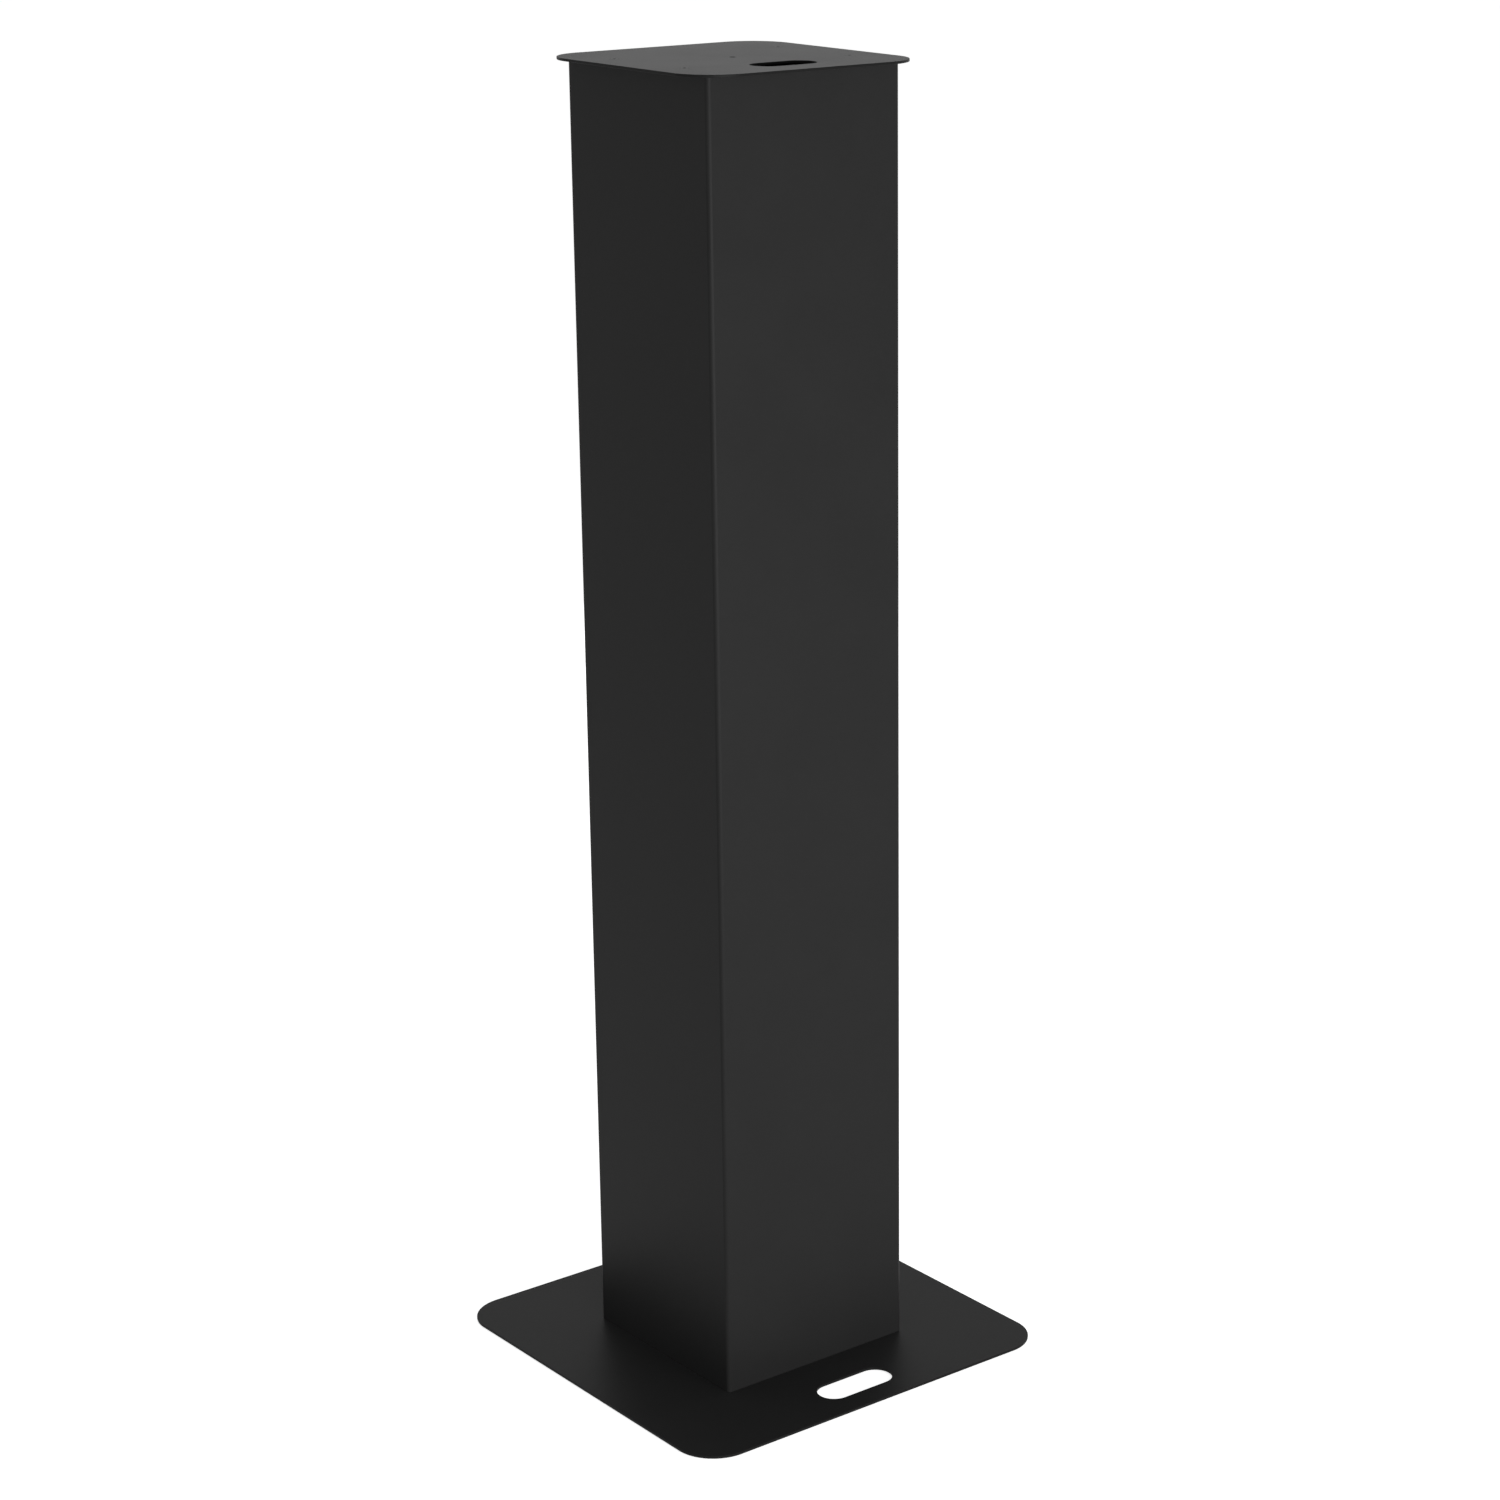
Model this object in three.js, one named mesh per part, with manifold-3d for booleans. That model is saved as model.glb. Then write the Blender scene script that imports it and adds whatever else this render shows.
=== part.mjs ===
// Speaker stand: a tall square column of folded sheet steel between a wide base plate and a small top
// plate. The speaker stands on the top plate, its cable drops through the slot into the hollow column
// and leaves through the outlet low in the removable rear panel.
//
// Millimetres, +Z up. The origin lies on the floor under the column's axis. The front faces -Y.

import * as THREE from "three";
import { mergeVertices } from "three/addons/utils/BufferGeometryUtils.js";
import Module from "manifold-3d";

// ---------------------------------------------------------------------------------------------
// Driving dimensions
// ---------------------------------------------------------------------------------------------

const standHeight = 1500; // underside of the base plate to the face that carries the speaker

// Base plate
const basePlateSide = 500;
const basePlateCorner = 50;
const basePlateThickness = 3;
const handSlotLength = 100;
const handSlotWidth = 40;
const handSlotEdgeMargin = 30; // plate edge to the slot

// Foot pads
const footPadDiameter = 40;
const footPadThickness = 2;
const footPadChamfer = 0.5;
const outerPadInset = 45; // plate edge to a pad's centre
const innerPadInset = 23; // column face to a pad's centre

// Column shell
const columnSide = 256;
const columnSheet = 2;
const columnBendRadius = 5; // outside of the four vertical edges
const rearRimWidth = 14; // strip of shell left showing on each side of the rear panel
const joggleBendRadius = 1; // inside of the two small bends that set the landing back
const landingWidth = 28; // behind each joggle, with the panel's screws along its middle

// Rear panel
const panelSheet = 2;
const panelCorner = 3;
const panelSideGap = 1; // joggle to the panel's edge
const panelEndGap = 1; // plates to the panel's ends
const panelScrewEndMargin = 40; // panel end to the first screw
const panelScrewsPerRow = 5;
const outletHeight = 70; // base plate to the middle of the cable outlet

// Top plate
const topPlateOverhang = 22; // beyond the column on every side
const topPlateCorner = 50;
const topPlateThickness = 3;
const cableSlotLength = 80; // the slot in the top plate and the outlet in the rear panel
const cableSlotWidth = 40;
const cableSlotWallMargin = 16; // inside of the front wall to the slot

// Angle brackets inside the ends of the column
const bracketSheet = 3;
const bracketLeg = 32;
const bracketBendRadius = 2; // inside
const bracketEndMargin = 26; // screw to the bracket's end
const fixingPitch = 128; // between the two screws of one bracket

// Countersunk screws that hold the plates
const plateThread = 5;
const plateScrewLength = 12;
const plateScrewHead = 9.5;
const plateNutWidth = 10; // across flats
const plateNutHeight = 3.5;

// Button-head screws that hold the rear panel
const panelThread = 4;
const panelScrewLength = 8;
const panelScrewHead = 7.6;
const panelScrewHeadHeight = 2.2;
const panelScrewHeadRim = 0.5; // straight edge under the dome
const panelNutWidth = 9;
const panelNutHeight = 3;

// Centre thread for a speaker that is screwed down
const speakerThread = 6;
const speakerNutWidth = 11;
const speakerNutHeight = 4;

// Six-lobe drive recess, as shares of the thread it belongs to
const driveOuterShare = 0.9;
const driveInnerShare = 0.64;
const driveDepthShare = 0.4;

// Clearances
const holeClearance = 0.5; // a screw's hole is this much wider than its thread
const seatGap = 0.3; // between a turned surface and the seat or thread round it

// Facets
const facetDeviation = 0.08; // how far a flat facet may stray from the true curve
const lobeSegments = 4; // one lobe of a drive recess
const domeSegments = 3; // rim to flat of a button head

// ---------------------------------------------------------------------------------------------
// Places worked out from them
// ---------------------------------------------------------------------------------------------

const baseUnderside = footPadThickness;
const baseTop = baseUnderside + basePlateThickness;
const topFace = baseUnderside + standHeight;
const topUnderside = topFace - topPlateThickness;
const columnLength = topUnderside - baseTop;

const columnFace = columnSide / 2; // outer faces of the column
const columnWall = columnFace - columnSheet; // inner faces
const landingFace = columnFace - panelSheet; // the rear panel lies on this and ends flush
const joggleStart = columnFace - rearRimWidth;
const joggleEnd = joggleStart - panelSheet; // the joggle slopes at 45 degrees
const panelHalfWidth = joggleEnd - panelSideGap;
const panelLow = baseTop + panelEndGap;
const panelHigh = topUnderside - panelEndGap;
const panelScrewX = joggleEnd - landingWidth / 2;

const topPlateSide = columnSide + 2 * topPlateOverhang;

const fixingX = columnWall - bracketLeg / 2; // the screws stand in the middle of the brackets' legs
const bracketLength = fixingPitch + 2 * bracketEndMargin;
const handSlotY = -(basePlateSide / 2 - handSlotEdgeMargin - handSlotWidth / 2);
const cableSlotY = -(columnWall - cableSlotWallMargin - cableSlotWidth / 2);

// A place for each corner of a rectangle, with the name that its pieces carry
const corners = [
  { name: "front_left", x: -1, y: -1 },
  { name: "front_right", x: 1, y: -1 },
  { name: "rear_left", x: -1, y: 1 },
  { name: "rear_right", x: 1, y: 1 },
];
const sides = [
  { name: "left", x: -1 },
  { name: "right", x: 1 },
];

// Screws at each end of the column, seen from above
const fixings = corners.map((corner) => ({
  name: corner.name,
  x: corner.x * fixingX,
  y: (corner.y * fixingPitch) / 2,
}));

// Heights of the screws in each of the rear panel's two rows
const panelScrewHeights = Array.from({ length: panelScrewsPerRow }, (_, i) => {
  const low = panelLow + panelScrewEndMargin;
  const high = panelHigh - panelScrewEndMargin;
  return low + ((high - low) * i) / (panelScrewsPerRow - 1);
});

// ---------------------------------------------------------------------------------------------
// Materials. The weld nuts are coated together with the sheet that they are welded to.
// ---------------------------------------------------------------------------------------------

const blackCoat = new THREE.MeshStandardMaterial({ color: 0x1d1d1f, roughness: 0.42, metalness: 0 });
const blackScrew = new THREE.MeshStandardMaterial({ color: 0x17171a, roughness: 0.38, metalness: 0.6 });
const blackRubber = new THREE.MeshStandardMaterial({ color: 0x141414, roughness: 0.85, metalness: 0 });

// ---------------------------------------------------------------------------------------------
// Solids that are cut with manifold-3d
// ---------------------------------------------------------------------------------------------

const wasm = await Module();
wasm.setup();

function solidOf(geometry) {
  const bare = geometry.clone();
  bare.deleteAttribute("normal");
  bare.deleteAttribute("uv");
  const merged = mergeVertices(bare, 1e-4);
  return new wasm.Manifold(
    new wasm.Mesh({
      numProp: 3,
      vertProperties: merged.attributes.position.array,
      triVerts: new Uint32Array(merged.index.array),
    }),
  );
}

function geometryOf(solid) {
  const mesh = solid.getMesh();
  const geometry = new THREE.BufferGeometry();
  geometry.setAttribute("position", new THREE.BufferAttribute(mesh.vertProperties, 3));
  geometry.setIndex(new THREE.BufferAttribute(mesh.triVerts, 1));
  geometry.computeVertexNormals();
  return geometry;
}

function cut(geometry, cutters) {
  let solid = solidOf(geometry);
  for (const cutter of cutters) {
    solid = solid.subtract(solidOf(cutter));
  }
  return geometryOf(solid);
}

// ---------------------------------------------------------------------------------------------
// Outlines and simple bodies
// ---------------------------------------------------------------------------------------------

const fullTurn = 2 * Math.PI;
const quarterTurn = Math.PI / 2;

function segmentsFor(radius, turn) {
  const step = 2 * Math.acos(1 - facetDeviation / radius);
  return Math.max(2, Math.ceil(Math.abs(turn) / step));
}

// Points of an arc, both ends included
function arc(x, y, radius, from, to) {
  const curve = new THREE.EllipseCurve(x, y, radius, radius, from, to, to < from);
  return curve.getPoints(segmentsFor(radius, to - from));
}

// Square or rectangle about the origin with round corners
function roundedRectangle(width, depth, radius) {
  const x = width / 2 - radius;
  const y = depth / 2 - radius;
  return new THREE.Shape([
    ...arc(x, y, radius, 0, quarterTurn),
    ...arc(-x, y, radius, quarterTurn, 2 * quarterTurn),
    ...arc(-x, -y, radius, 2 * quarterTurn, 3 * quarterTurn),
    ...arc(x, -y, radius, 3 * quarterTurn, 4 * quarterTurn),
  ]);
}

// Hole with two straight sides along X and a half round at each end
function roundEndedSlot(length, width, x, y) {
  const radius = width / 2;
  const reach = length / 2 - radius;
  return new THREE.Path([
    ...arc(x + reach, y, radius, -quarterTurn, quarterTurn),
    ...arc(x - reach, y, radius, quarterTurn, 3 * quarterTurn),
  ]);
}

function roundHole(radius, x, y) {
  return new THREE.Path(arc(x, y, radius, 0, fullTurn).slice(0, -1));
}

function screwHole(thread, x, y) {
  return roundHole((thread + holeClearance) / 2, x, y);
}

function extrudeUp(shape, low, height) {
  const geometry = new THREE.ExtrudeGeometry(shape, { depth: height, bevelEnabled: false });
  return geometry.translate(0, 0, low);
}

// The profile's points are (radius, height), from the lower end on the axis to the upper end on it
function turned(profile) {
  const points = profile.map(([radius, height]) => new THREE.Vector2(radius, height));
  const widest = Math.max(...points.map((point) => point.x));
  return new THREE.LatheGeometry(points, segmentsFor(widest, fullTurn)).rotateX(quarterTurn);
}

// Section of a folded sheet. The outer face follows the corners, and the inner face runs one sheet
// thickness to its right. Each corner between the ends gives its bend's inside radius. The bend's
// centre lies on the side that the sheet turns to, and both faces' arcs share it.
function foldedSection(outerCorners, sheet) {
  const points = outerCorners.map((corner) => new THREE.Vector2(corner.x, corner.y));
  const outer = [];
  const inner = [];
  const rightOf = (direction) => new THREE.Vector2(direction.y, -direction.x);
  const addEnd = (point, direction) => {
    outer.push(point.clone());
    inner.push(point.clone().addScaledVector(rightOf(direction), sheet));
  };
  const direction = (i) => points[i + 1].clone().sub(points[i]).normalize();

  addEnd(points[0], direction(0));
  for (let i = 1; i < points.length - 1; i += 1) {
    const into = direction(i - 1);
    const out = direction(i);
    const turn = Math.atan2(into.cross(out), into.dot(out)); // positive to the left
    const toRight = turn < 0;
    const outerRadius = outerCorners[i].bend + (toRight ? sheet : 0);
    const innerRadius = outerCorners[i].bend + (toRight ? 0 : sheet);
    const centre = points[i]
      .clone()
      .addScaledVector(into, -outerRadius * Math.tan(Math.abs(turn) / 2))
      .addScaledVector(rightOf(into), toRight ? outerRadius : -outerRadius);
    const from = Math.atan2(into.x, -into.y) + (toRight ? 0 : Math.PI);
    outer.push(...arc(centre.x, centre.y, outerRadius, from, from + turn));
    inner.push(...arc(centre.x, centre.y, innerRadius, from, from + turn));
  }
  addEnd(points[points.length - 1], direction(points.length - 2));
  return new THREE.Shape([...outer, ...inner.reverse()]);
}

// Cutter for a round hole along Z, long enough to run through any sheet that it is centred on
function drill(thread) {
  const length = 4 * Math.max(columnSheet, bracketSheet);
  return extrudeUp(new THREE.Shape(screwHole(thread, 0, 0).getPoints()), -length / 2, length);
}

// Cone that sinks a screw head into a plate, widest at z = 0 and pointing down
function countersink() {
  const wide = plateScrewHead / 2 + seatGap * Math.SQRT2;
  const overlap = 1; // runs above the face, so that the cut is clean
  return turned([
    [0, -wide],
    [wide + overlap, overlap],
    [0, overlap],
  ]);
}

// Prism with the six rounded lobes of a drive recess, from z = top downwards
function driveRecess(thread, top, depth) {
  const mean = (thread * (driveOuterShare + driveInnerShare)) / 4;
  const swing = (thread * (driveOuterShare - driveInnerShare)) / 4;
  const lobes = 6;
  const count = lobes * lobeSegments;
  const outline = Array.from({ length: count }, (_, i) => {
    const angle = (fullTurn * i) / count;
    const radius = mean + swing * Math.cos(lobes * angle);
    return new THREE.Vector2(radius * Math.cos(angle), radius * Math.sin(angle));
  });
  const overlap = 1;
  return extrudeUp(new THREE.Shape(outline), top - depth, depth + overlap);
}

// ---------------------------------------------------------------------------------------------
// Fasteners and pads, each standing on or hanging from z = 0
// ---------------------------------------------------------------------------------------------

// Head flush with z = 0, shank below
function plateScrewGeometry() {
  const head = plateScrewHead / 2;
  const shank = plateThread / 2;
  const tip = plateThread / 10; // chamfer at the end
  const body = turned([
    [0, -plateScrewLength],
    [shank - tip, -plateScrewLength],
    [shank, -plateScrewLength + tip],
    [shank, shank - head],
    [head, 0],
    [0, 0],
  ]);
  return cut(body, [driveRecess(plateThread, 0, plateThread * driveDepthShare)]);
}

// Underside of the head on z = 0, shank below
function panelScrewGeometry() {
  const head = panelScrewHead / 2;
  const flat = panelThread / 2; // flat on top of the dome
  const shank = panelThread / 2;
  const tip = panelThread / 10;
  const dome = Array.from({ length: domeSegments + 1 }, (_, i) => {
    const angle = quarterTurn * (i / domeSegments);
    const radius = flat + (head - flat) * Math.cos(angle);
    const height = panelScrewHeadRim + (panelScrewHeadHeight - panelScrewHeadRim) * Math.sin(angle);
    return [radius, height];
  });
  const body = turned([
    [0, -panelScrewLength],
    [shank - tip, -panelScrewLength],
    [shank, -panelScrewLength + tip],
    [shank, 0],
    [head, 0],
    ...dome,
    [0, panelScrewHeadHeight],
  ]);
  return cut(body, [driveRecess(panelThread, panelScrewHeadHeight, panelThread * driveDepthShare)]);
}

// Hexagon weld nut below z = 0. Its bore stands clear of the thread by the seat gap.
function weldNutGeometry(thread, width, height) {
  const cornerRadius = width / 2 / Math.cos(fullTurn / 12);
  const hexagon = Array.from({ length: 6 }, (_, i) => {
    const angle = (fullTurn * i) / 6;
    return new THREE.Vector2(cornerRadius * Math.cos(angle), cornerRadius * Math.sin(angle));
  });
  const shape = new THREE.Shape(hexagon);
  shape.holes.push(roundHole(thread / 2 + seatGap, 0, 0));
  return extrudeUp(shape, -height, height);
}

function footPadGeometry() {
  const radius = footPadDiameter / 2;
  return turned([
    [0, 0],
    [radius - footPadChamfer, 0],
    [radius, footPadChamfer],
    [radius, footPadThickness],
    [0, footPadThickness],
  ]);
}

// ---------------------------------------------------------------------------------------------
// Plates, shell, panel and brackets
// ---------------------------------------------------------------------------------------------

function basePlateGeometry() {
  const shape = roundedRectangle(basePlateSide, basePlateSide, basePlateCorner);
  shape.holes.push(roundEndedSlot(handSlotLength, handSlotWidth, 0, handSlotY));
  for (const fixing of fixings) {
    shape.holes.push(screwHole(plateThread, fixing.x, fixing.y));
  }
  const cutters = fixings.map((fixing) =>
    countersink().rotateX(Math.PI).translate(fixing.x, fixing.y, baseUnderside),
  );
  return cut(extrudeUp(shape, baseUnderside, basePlateThickness), cutters);
}

function topPlateGeometry() {
  const shape = roundedRectangle(topPlateSide, topPlateSide, topPlateCorner);
  shape.holes.push(roundEndedSlot(cableSlotLength, cableSlotWidth, 0, cableSlotY));
  shape.holes.push(screwHole(speakerThread, 0, 0));
  for (const fixing of fixings) {
    shape.holes.push(screwHole(plateThread, fixing.x, fixing.y));
  }
  const cutters = fixings.map((fixing) => countersink().translate(fixing.x, fixing.y, topFace));
  return cut(extrudeUp(shape, topUnderside, topPlateThickness), cutters);
}

// Front, two sides and the joggled returns at the back, folded from one sheet
function columnShellGeometry() {
  const edge = columnBendRadius - columnSheet;
  const half = [
    { x: joggleEnd - landingWidth, y: landingFace },
    { x: joggleEnd, y: landingFace, bend: joggleBendRadius },
    { x: joggleStart, y: columnFace, bend: joggleBendRadius },
    { x: columnFace, y: columnFace, bend: edge },
    { x: columnFace, y: -columnFace, bend: edge },
  ];
  const otherHalf = half.map((corner) => ({ ...corner, x: -corner.x })).reverse();
  const shell = extrudeUp(foldedSection([...half, ...otherHalf], columnSheet), baseTop, columnLength);
  const cutters = [];
  for (const side of sides) {
    for (const height of panelScrewHeights) {
      const hole = drill(panelThread).rotateX(quarterTurn);
      cutters.push(hole.translate(side.x * panelScrewX, landingFace - columnSheet / 2, height));
    }
  }
  return cut(shell, cutters);
}

// Drawn flat with the panel's height along the shape's Y, then stood up on the landings
function rearPanelGeometry() {
  const height = panelHigh - panelLow;
  const middle = (panelHigh + panelLow) / 2;
  const shape = roundedRectangle(2 * panelHalfWidth, height, panelCorner);
  shape.holes.push(roundEndedSlot(cableSlotLength, cableSlotWidth, 0, baseTop + outletHeight - middle));
  for (const side of sides) {
    for (const screwHeight of panelScrewHeights) {
      shape.holes.push(screwHole(panelThread, side.x * panelScrewX, screwHeight - middle));
    }
  }
  return extrudeUp(shape, 0, panelSheet)
    .rotateX(quarterTurn)
    .translate(0, columnFace, middle);
}

// Angle for the right-hand wall with its flat leg up against z = 0 and its other leg down the wall
function bracketGeometry() {
  const section = foldedSection(
    [
      { x: columnWall - bracketLeg, y: 0 },
      { x: columnWall, y: 0, bend: bracketBendRadius },
      { x: columnWall, y: -bracketLeg },
    ],
    bracketSheet,
  );
  const angle = extrudeUp(section, -bracketLength / 2, bracketLength).rotateX(quarterTurn);
  const cutters = [-1, 1].map((end) =>
    drill(plateThread).translate(fixingX, (end * fixingPitch) / 2, -bracketSheet / 2),
  );
  return cut(angle, cutters);
}

// ---------------------------------------------------------------------------------------------
// Assembly
// ---------------------------------------------------------------------------------------------

function piece(name, geometry, material) {
  const mesh = new THREE.Mesh(geometry, material.clone());
  mesh.name = name;
  return mesh;
}

// Base plate on its pads
function makeBase() {
  const base = new THREE.Group();
  base.add(piece("base_plate", basePlateGeometry(), blackCoat));
  const rings = [
    { name: "foot_pad_outer", reach: basePlateSide / 2 - outerPadInset },
    { name: "foot_pad_inner", reach: columnFace - innerPadInset },
  ];
  for (const ring of rings) {
    for (const corner of corners) {
      const pad = piece(`${ring.name}_${corner.name}`, footPadGeometry(), blackRubber);
      pad.position.set(corner.x * ring.reach, corner.y * ring.reach, 0);
      base.add(pad);
    }
  }
  return base;
}

// One end of the column: two brackets, their weld nuts and the screws that come through the plate.
// It is drawn for the top, with z = 0 at the column's end, and turned over about X for the base.
function makeEndFixing(end, plateThickness, columnEnd) {
  const fixing = new THREE.Group();
  const isTop = end === "top";
  fixing.rotation.x = isTop ? 0 : Math.PI;
  fixing.position.z = columnEnd;
  for (const side of sides) {
    const bracket = piece(`${end}_bracket_${side.name}`, bracketGeometry(), blackCoat);
    bracket.rotation.z = side.x > 0 ? 0 : Math.PI;
    fixing.add(bracket);
  }
  for (const place of fixings) {
    const y = isTop ? place.y : -place.y;
    const nutGeometry = weldNutGeometry(plateThread, plateNutWidth, plateNutHeight);
    const nut = piece(`${end}_nut_${place.name}`, nutGeometry, blackCoat);
    nut.position.set(place.x, y, -bracketSheet);
    const screw = piece(`${end}_screw_${place.name}`, plateScrewGeometry(), blackScrew);
    screw.position.set(place.x, y, plateThickness);
    fixing.add(nut, screw);
  }
  return fixing;
}

// Shell with its rear panel, and the panel's screws and nuts
function makeColumn() {
  const column = new THREE.Group();
  column.add(piece("column_shell", columnShellGeometry(), blackCoat));
  column.add(piece("rear_panel", rearPanelGeometry(), blackCoat));
  for (const side of sides) {
    panelScrewHeights.forEach((height, i) => {
      const place = `${side.name}_${i + 1}`;
      const screw = piece(`panel_screw_${place}`, panelScrewGeometry(), blackScrew);
      screw.rotation.x = -quarterTurn;
      screw.position.set(side.x * panelScrewX, columnFace + seatGap, height);
      const nutGeometry = weldNutGeometry(panelThread, panelNutWidth, panelNutHeight);
      const nut = piece(`panel_nut_${place}`, nutGeometry, blackCoat);
      nut.rotation.x = -quarterTurn;
      nut.position.set(side.x * panelScrewX, landingFace - columnSheet - seatGap, height);
      column.add(screw, nut);
    });
  }
  return column;
}

// Top plate with the thread under its centre hole
function makeHead() {
  const head = new THREE.Group();
  head.add(piece("top_plate", topPlateGeometry(), blackCoat));
  const nutGeometry = weldNutGeometry(speakerThread, speakerNutWidth, speakerNutHeight);
  const nut = piece("speaker_nut", nutGeometry, blackCoat);
  nut.position.z = topUnderside;
  head.add(nut);
  return head;
}

const speakerStand = new THREE.Group();
speakerStand.add(
  makeBase(),
  makeEndFixing("base", basePlateThickness, baseTop),
  makeColumn(),
  makeEndFixing("top", topPlateThickness, topUnderside),
  makeHead(),
);

export default speakerStand;
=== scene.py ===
"""Looks of a speaker stand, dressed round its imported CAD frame.

Metres, in the frame's own axes: +Z up, the front towards -Y, the origin on the floor under the column's
axis. The plates, the column's shell, its rear panel and the angle brackets are sheet metal, so each is
drawn as a flat pattern of closed loops, given rounded edges, and folded as the workshop folds it.
Screws, nuts and pads are turned about an axis.
"""

import logging
import math
from collections.abc import Mapping, Sequence
from dataclasses import dataclass, field
from enum import Enum
from typing import Any

import bpy
import numpy as np
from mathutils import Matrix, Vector
from mathutils.geometry import delaunay_2d_cdt


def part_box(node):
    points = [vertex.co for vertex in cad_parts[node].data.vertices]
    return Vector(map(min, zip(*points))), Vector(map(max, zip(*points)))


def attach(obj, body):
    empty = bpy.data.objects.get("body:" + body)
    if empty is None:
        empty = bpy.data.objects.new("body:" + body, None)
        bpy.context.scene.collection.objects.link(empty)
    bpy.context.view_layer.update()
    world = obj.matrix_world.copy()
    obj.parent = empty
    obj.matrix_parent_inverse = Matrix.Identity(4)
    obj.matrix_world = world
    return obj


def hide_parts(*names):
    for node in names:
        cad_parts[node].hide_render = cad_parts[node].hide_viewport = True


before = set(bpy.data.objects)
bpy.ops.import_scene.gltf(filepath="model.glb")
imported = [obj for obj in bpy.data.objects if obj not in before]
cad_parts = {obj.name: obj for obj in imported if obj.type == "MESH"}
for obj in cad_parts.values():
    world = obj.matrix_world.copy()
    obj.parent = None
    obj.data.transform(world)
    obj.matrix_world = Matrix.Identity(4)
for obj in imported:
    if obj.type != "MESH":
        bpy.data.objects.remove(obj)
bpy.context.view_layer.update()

log = logging.getLogger("speaker_stand")

Array = np.ndarray
Place = tuple[float, float, float]

BODY = "root"
QUARTER = math.pi / 2
FULL_TURN = 2 * math.pi

# How finely curves are divided
CORNER_STEPS = 32  # a plate's corner
BEND_STEPS = 14  # a bend of the sheet
EDGE_STEPS = 4  # each rounded half of a sheet's edge
HOLE_STEPS = 48  # once round a hole
TURN_STEPS = 96  # once round a turned piece, a multiple of the six lobes and six flats
PATTERN_UNITS = 1000.0  # the triangulator works in millimetres, where its tolerance is fine
PATTERN_TOLERANCE = 1e-5

NUT_CHAMFER = 0.0003  # of a nut's bore and edges
NUT_CONE_SLOPE = math.tan(math.radians(30))  # of the turning that takes the corners off a nut's free face

LOBES = 6
TIP_SHARE = 0.2  # bevel of a shank's tip, as a share of its radius

# Shares of a screw's thread in its drive recess
RECESS_LOBE = 0.45  # radius at a lobe
RECESS_VALLEY = 0.32  # radius between two lobes
RECESS_DEPTH = 0.4
RECESS_LIP = 0.02  # bevels of the mouth and of the floor

# Noise: its mean, and how many finer octaves each use of it adds
NOISE_MEAN = 0.5
CLOUD_DETAIL = 4.0
GRAIN_DETAIL = 3.0
RIPPLE_DETAIL = 1.0


# ---- Surfaces ----


@dataclass(frozen=True)
class Surface:
    """Vertices and faces of one closed shape.

    Args:
        vertices: (n, 3) places.
        faces: index arrays, (k, 3) for triangles or (k, 4) for quads, anticlockwise seen from outside.
        rim: (n,) weights, 1 on a rounded edge and 0 on a face, which the finishes read as "rim".
    """

    vertices: Array
    faces: tuple[Array, ...]
    rim: Array

    def normals(self) -> Array:
        """Vertex normals in which each face counts by its area.

        A face adds the cross product of its third corner less its first and its last corner less its
        second. In a triangle and in a quad alike, that is twice the area along the face's normal, so broad
        flat faces stay flat beside their narrow rounded edges.

        Returns:
            (n, 3) unit vectors.
        """
        total = np.zeros_like(self.vertices)
        for face in self.faces:
            corner = self.vertices[face]
            across = np.cross(corner[:, 2] - corner[:, 0], corner[:, -1] - corner[:, 1])
            for column in face.T:
                np.add.at(total, column, across)
        return total / np.linalg.norm(total, axis=1, keepdims=True)

    def to_mesh(self, name: str) -> bpy.types.Mesh:
        """Puts the arrays into a mesh with its normals and its rim attribute.

        Args:
            name: the mesh's name.

        Returns:
            The new mesh.
        """
        mesh = bpy.data.meshes.new(name)
        corners = [corner for face in self.faces for corner in face.tolist()]
        mesh.from_pydata(self.vertices.tolist(), [], corners, shade_flat=False)
        attribute = mesh.attributes.new("rim", "FLOAT", "POINT")
        attribute.data.foreach_set("value", self.rim.astype(np.float32))
        mesh.normals_split_custom_set_from_vertices(self.normals().tolist())
        return mesh


@dataclass(frozen=True)
class Axes:
    """Right-handed axes at a place. The third is the cross product of the first two.

    Args:
        origin: where they meet.
        first: unit vector.
        second: unit vector.
    """

    origin: Place = (0.0, 0.0, 0.0)
    first: Place = (1.0, 0.0, 0.0)
    second: Place = (0.0, 1.0, 0.0)

    def carry(self, local: Array) -> Array:
        """Local places in the frame: the origin plus each coordinate times its axis.

        Args:
            local: (..., 3) coordinates along the three axes.

        Returns:
            Array of the same shape.
        """
        third = np.cross(self.first, self.second)
        return np.array(self.origin) + local @ np.stack([self.first, self.second, third])


def new_object(name: str, data: bpy.types.ID) -> bpy.types.Object:
    """Puts an object of some data into the scene.

    Args:
        name: the object's name.
        data: its mesh, lamp or camera.

    Returns:
        The object.
    """
    thing = bpy.data.objects.new(name, data)
    bpy.context.scene.collection.objects.link(thing)
    return thing


class Facing(Enum):
    """Where a turned piece's own +Z points: its first and second axis."""

    UP = ((1.0, 0.0, 0.0), (0.0, 1.0, 0.0))
    DOWN = ((1.0, 0.0, 0.0), (0.0, -1.0, 0.0))
    REAR = ((-1.0, 0.0, 0.0), (0.0, 0.0, 1.0))

    def seat(self, node: str, inset: float = 0.0) -> tuple[Axes, float]:
        """Finds the side of a node's box that faces this way.

        Args:
            node: the node's name.
            inset: how far behind that side the axes lie.

        Returns:
            Axes at the side's middle that face this way, and the box's depth behind it.
        """
        first, second = self.value
        third = np.cross(first, second)
        low, high = np.array(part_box(node))
        depth = abs(third) @ (high - low)
        origin = (low + high) / 2 + (depth / 2 - inset) * third
        return Axes(tuple(origin.tolist()), first, second), float(depth)


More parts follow.
